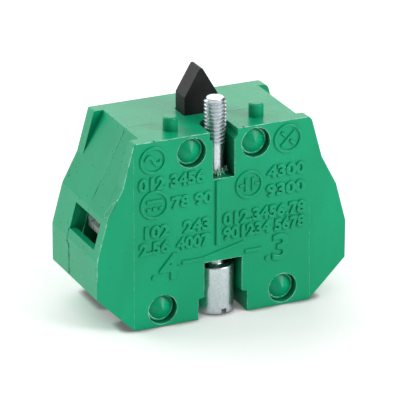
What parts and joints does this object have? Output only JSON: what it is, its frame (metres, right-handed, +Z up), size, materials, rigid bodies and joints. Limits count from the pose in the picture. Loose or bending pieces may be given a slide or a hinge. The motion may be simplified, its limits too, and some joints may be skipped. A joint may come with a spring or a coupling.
{
  "type": "push button contact block",
  "caption": "Normally open contact block of an industrial push button, with a wedge-topped plunger, captive mounting screw, locating pegs and side wire entries with clamp terminals.",
  "frame": {"origin": "middle of the bottom of the bounding box, on the face that the block stands on", "axes": "+X to the right across the two wire entries, +Y from the marked front face to the back face, +Z up towards the plunger"},
  "size_m": [0.0414, 0.0176, 0.0374],
  "materials": {
    "green_plastic": "moulded, satin",
    "black_plastic": "moulded, satin",
    "zinc_steel": "zinc plated, bright",
    "spring_steel": "drawn wire",
    "contact_brass": "stamped",
    "contact_silver": "silver alloy, dull"
  },
  "bodies": {
    "housing": {"front_shell": "green_plastic", "rear_shell": "green_plastic", "return_spring": "spring_steel", "fixed_contact_left": "contact_brass", "fixed_tip_left": "contact_silver", "terminal_nut_left": "zinc_steel", "fixed_contact_right": "contact_brass", "fixed_tip_right": "contact_silver", "terminal_nut_right": "zinc_steel"},
    "plunger": {"plunger": "black_plastic", "contact_spring": "spring_steel"},
    "bridge": {"contact_bridge": "contact_brass", "bridge_tip_left": "contact_silver", "bridge_tip_right": "contact_silver"},
    "mounting_screw": {"mounting_screw": "zinc_steel"},
    "clamp_left": {"clamp_plate_left": "zinc_steel", "lock_washer_left": "zinc_steel"},
    "terminal_screw_left": {"terminal_screw_left": "zinc_steel"},
    "clamp_right": {"clamp_plate_right": "zinc_steel", "lock_washer_right": "zinc_steel"},
    "terminal_screw_right": {"terminal_screw_right": "zinc_steel"}
  },
  "joints": [
    {"name": "plunger_slide", "type": "slide", "parent": "housing", "child": "plunger", "axis": [0, 0, -1], "range_m": [0, 0.0043], "stiffness_N_per_m": 600, "springref_m": -0.003, "deforming": ["return_spring", "contact_spring"]},
    {"name": "bridge_slide", "type": "slide", "parent": "housing", "child": "bridge", "axis": [0, 0, -1], "range_m": [0, 0.00238]},
    {"name": "mounting_screw_turn", "type": "hinge", "parent": "housing", "child": "mounting_screw", "pos_m": [0, -0.00559, 0], "axis": [0, 0, 1], "continuous": true},
    {"name": "clamp_left_slide", "type": "slide", "parent": "housing", "child": "clamp_left", "axis": [0, 0, 1], "range_m": [0, 0.00195]},
    {"name": "terminal_screw_left_turn", "type": "hinge", "parent": "clamp_left", "child": "terminal_screw_left", "pos_m": [-0.0147, -0.00204, 0], "axis": [0, 0, 1], "range_deg": [0, 1170]},
    {"name": "clamp_right_slide", "type": "slide", "parent": "housing", "child": "clamp_right", "axis": [0, 0, 1], "range_m": [0, 0.00195]},
    {"name": "terminal_screw_right_turn", "type": "hinge", "parent": "clamp_right", "child": "terminal_screw_right", "pos_m": [0.0147, -0.00204, 0], "axis": [0, 0, 1], "range_deg": [0, 1170]}
  ],
  "couplings": [
    {"joint": "bridge_slide", "follows": "plunger_slide", "ratio": 0.55349},
    {"joint": "terminal_screw_left_turn", "follows": "clamp_left_slide", "rad_per_m": 10472},
    {"joint": "terminal_screw_right_turn", "follows": "clamp_right_slide", "rad_per_m": 10472}
  ]
}
